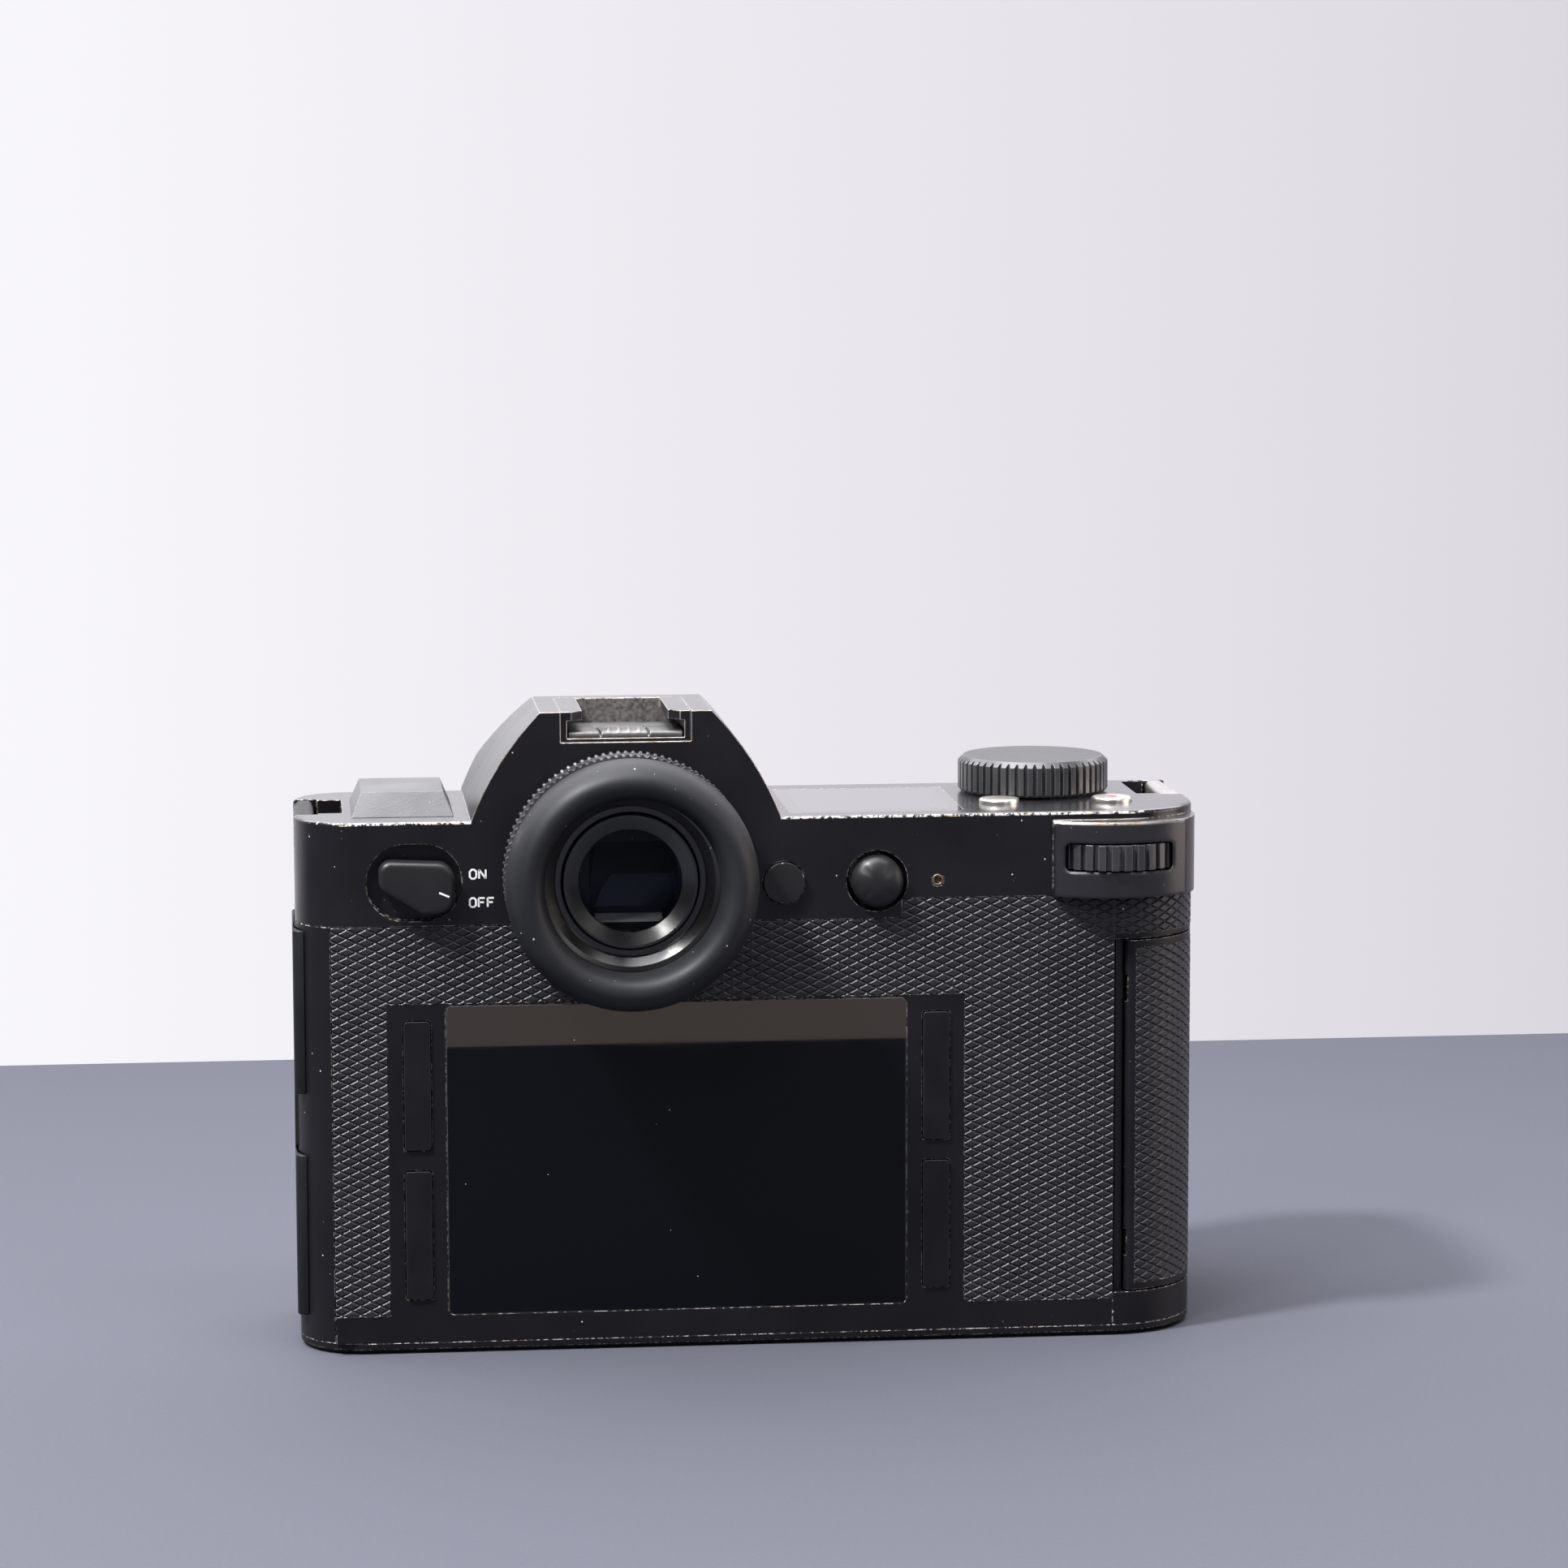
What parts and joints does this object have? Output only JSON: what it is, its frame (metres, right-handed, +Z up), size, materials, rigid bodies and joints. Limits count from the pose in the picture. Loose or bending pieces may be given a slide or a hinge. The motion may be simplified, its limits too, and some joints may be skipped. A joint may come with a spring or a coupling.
{
  "type": "mirrorless camera",
  "caption": "Mirrorless camera body with round finder eyecup, rear screen, top dial, hand grip, open lens mount, hinged card, battery and port covers.",
  "frame": {"origin": "mouth of the tripod thread, in the base, under the lens axis", "axes": "+X towards the hand grip, +Y out of the lens mount towards the subject, +Z up"},
  "size_m": [0.1476, 0.0762, 0.104],
  "materials": {
    "black_paint": "fine matt black enamel, worn to bare metal on the edges",
    "dial_black": "black anodised, fluted",
    "leather": "embossed diamond grain",
    "rubber": "matt moulded rubber",
    "glass": "coated glass",
    "bright_steel": "brushed",
    "black_plastic": "fine textured",
    "key_gloss": "satin to gloss",
    "circuit": "solder mask",
    "frame_metal": "as cast"
  },
  "bodies": {
    "root": {"front_shell": "black_paint", "top_cover": "black_paint", "back_plate": "black_paint", "bottom_plate": "black_paint", "shoe_rails": "black_paint", "leather_rear": "leather", "leather_front": "leather", "eyecup": "rubber", "eyepiece_lens": "glass", "lcd_glass": "glass", "top_display": "glass", "strap_bars": "bright_steel", "shoe_spring": "bright_steel", "mount_ring": "bright_steel", "cover_screws": "bright_steel", "hatch_pin": "bright_steel", "thumb_wheel_axle": "bright_steel", "tripod_socket": "bright_steel", "antenna_cover": "black_plastic", "eyepiece_barrel": "black_plastic", "finder_housing": "black_plastic", "light_baffle": "black_plastic", "mount_contacts": "black_plastic", "card_bay": "black_plastic", "battery": "black_plastic", "battery_bay": "black_plastic", "port_panel": "black_plastic", "joystick_base": "black_plastic", "lcd_panel": "black_plastic", "shutter_frame": "black_plastic", "main_board": "circuit", "control_board": "circuit", "sensor": "circuit", "chassis": "frame_metal"},
    "power_lever": {"power_lever": "dial_black"},
    "dioptre_ring": {"dioptre_ring": "dial_black"},
    "top_dial": {"top_dial": "dial_black"},
    "thumb_wheel": {"thumb_wheel": "dial_black"},
    "joystick_yoke": {"joystick_yoke": "bright_steel"},
    "joystick_stem": {"joystick_stem": "bright_steel"},
    "joystick_cap": {"joystick_cap": "key_gloss"},
    "finder_key": {"finder_key": "dial_black"},
    "screen_key_left_low": {"screen_key_left_low": "key_gloss"},
    "screen_key_left_high": {"screen_key_left_high": "key_gloss"},
    "screen_key_right_low": {"screen_key_right_low": "key_gloss"},
    "screen_key_right_high": {"screen_key_right_high": "key_gloss"},
    "deck_key_left": {"deck_key_left": "dial_black"},
    "deck_key_right": {"deck_key_right": "dial_black"},
    "lens_release": {"lens_release": "dial_black"},
    "shutter_button": {"shutter_button": "dial_black"},
    "card_hinge_slide": {"card_hinge_slide": "bright_steel"},
    "battery_hatch": {"battery_hatch": "black_paint"},
    "battery_latch": {"battery_latch": "black_plastic"},
    "port_cover_upper": {"port_cover_upper": "rubber"},
    "port_cover_lower": {"port_cover_lower": "rubber"},
    "shutter_blade_1": {"shutter_blade_1": "black_plastic"},
    "shutter_blade_2": {"shutter_blade_2": "black_plastic"},
    "shutter_blade_3": {"shutter_blade_3": "black_plastic"},
    "card_door": {"card_door": "black_paint", "leather_door": "leather"}
  },
  "joints": [
    {"name": "power_lever_turn", "type": "hinge", "parent": "root", "child": "power_lever", "pos_m": [-0.0335, -0.0195, 0.0767], "axis": [0, -1, 0], "range_deg": [0, 28]},
    {"name": "dioptre_ring_turn", "type": "hinge", "parent": "root", "child": "dioptre_ring", "pos_m": [0, -0.0195, 0.0778], "axis": [0, -1, 0], "range_deg": [-60, 60]},
    {"name": "top_dial_turn", "type": "hinge", "parent": "root", "child": "top_dial", "pos_m": [0.06975, 0.0075, 0.09], "axis": [0, 0, 1], "continuous": true},
    {"name": "thumb_wheel_turn", "type": "hinge", "parent": "root", "child": "thumb_wheel", "pos_m": [0.0796, -0.01325, 0.0795], "axis": [0, 0, 1], "continuous": true},
    {"name": "joystick_up_down", "type": "hinge", "parent": "root", "child": "joystick_yoke", "pos_m": [0.0404, -0.0136, 0.07595], "axis": [1, 0, 0], "range_deg": [-4.5, 4.5], "stiffness_Nm_per_rad": 0.05},
    {"name": "joystick_left_right", "type": "hinge", "parent": "joystick_yoke", "child": "joystick_stem", "pos_m": [0.0404, -0.0136, 0.07595], "axis": [0, 0, 1], "range_deg": [-4.5, 4.5], "stiffness_Nm_per_rad": 0.05},
    {"name": "joystick_press", "type": "slide", "parent": "joystick_stem", "child": "joystick_cap", "axis": [0, 1, 0], "range_m": [0, 0.0004], "stiffness_N_per_m": 2000},
    {"name": "finder_key_press", "type": "slide", "parent": "root", "child": "finder_key", "axis": [0, 1, 0], "range_m": [0, 0.0008], "stiffness_N_per_m": 1500},
    {"name": "screen_key_left_low_press", "type": "slide", "parent": "root", "child": "screen_key_left_low", "axis": [0, 1, 0], "range_m": [0, 0.0006], "stiffness_N_per_m": 1500},
    {"name": "screen_key_left_high_press", "type": "slide", "parent": "root", "child": "screen_key_left_high", "axis": [0, 1, 0], "range_m": [0, 0.0006], "stiffness_N_per_m": 1500},
    {"name": "screen_key_right_low_press", "type": "slide", "parent": "root", "child": "screen_key_right_low", "axis": [0, 1, 0], "range_m": [0, 0.0006], "stiffness_N_per_m": 1500},
    {"name": "screen_key_right_high_press", "type": "slide", "parent": "root", "child": "screen_key_right_high", "axis": [0, 1, 0], "range_m": [0, 0.0006], "stiffness_N_per_m": 1500},
    {"name": "deck_key_left_press", "type": "slide", "parent": "root", "child": "deck_key_left", "axis": [0, 0, -1], "range_m": [0, 0.0006], "stiffness_N_per_m": 1500},
    {"name": "deck_key_right_press", "type": "slide", "parent": "root", "child": "deck_key_right", "axis": [0, 0, -1], "range_m": [0, 0.0006], "stiffness_N_per_m": 1500},
    {"name": "shutter_button_press", "type": "slide", "parent": "root", "child": "shutter_button", "axis": [0, 0, -1], "range_m": [0, 0.0012], "stiffness_N_per_m": 1500},
    {"name": "lens_release_press", "type": "slide", "parent": "root", "child": "lens_release", "axis": [0, -1, 0], "range_m": [0, 0.002], "stiffness_N_per_m": 1000},
    {"name": "card_door_slide", "type": "slide", "parent": "root", "child": "card_hinge_slide", "axis": [0, -1, 0], "range_m": [0, 0.004]},
    {"name": "card_door_open", "type": "hinge", "parent": "card_hinge_slide", "child": "card_door", "pos_m": [0.0823, -0.01803, 0.03645], "axis": [0, 0, -1], "range_deg": [0, 85]},
    {"name": "battery_hatch_open", "type": "hinge", "parent": "root", "child": "battery_hatch", "pos_m": [0.0671, 0.0178, 0.0009], "axis": [0, 1, 0], "range_deg": [0, 95]},
    {"name": "battery_latch_slide", "type": "slide", "parent": "battery_hatch", "child": "battery_latch", "axis": [-1, 0, 0], "range_m": [0, 0.0025]},
    {"name": "port_cover_upper_open", "type": "hinge", "parent": "root", "child": "port_cover_upper", "pos_m": [-0.05265, 0.00825, 0.055], "axis": [0, 0, -1], "range_deg": [0, 100]},
    {"name": "port_cover_lower_open", "type": "hinge", "parent": "root", "child": "port_cover_lower", "pos_m": [-0.05265, 0.00825, 0.019], "axis": [0, 0, -1], "range_deg": [0, 100]},
    {"name": "shutter_blade_3_rise", "type": "slide", "parent": "root", "child": "shutter_blade_3", "axis": [0, 0, 1], "range_m": [0, 0.0366]},
    {"name": "shutter_blade_2_rise", "type": "slide", "parent": "root", "child": "shutter_blade_2", "axis": [0, 0, 1], "range_m": [0, 0.0244]},
    {"name": "shutter_blade_1_rise", "type": "slide", "parent": "root", "child": "shutter_blade_1", "axis": [0, 0, 1], "range_m": [0, 0.0122]}
  ],
  "couplings": [
    {"joint": "shutter_blade_2_rise", "follows": "shutter_blade_3_rise", "ratio": 0.66667},
    {"joint": "shutter_blade_1_rise", "follows": "shutter_blade_3_rise", "ratio": 0.33333}
  ]
}
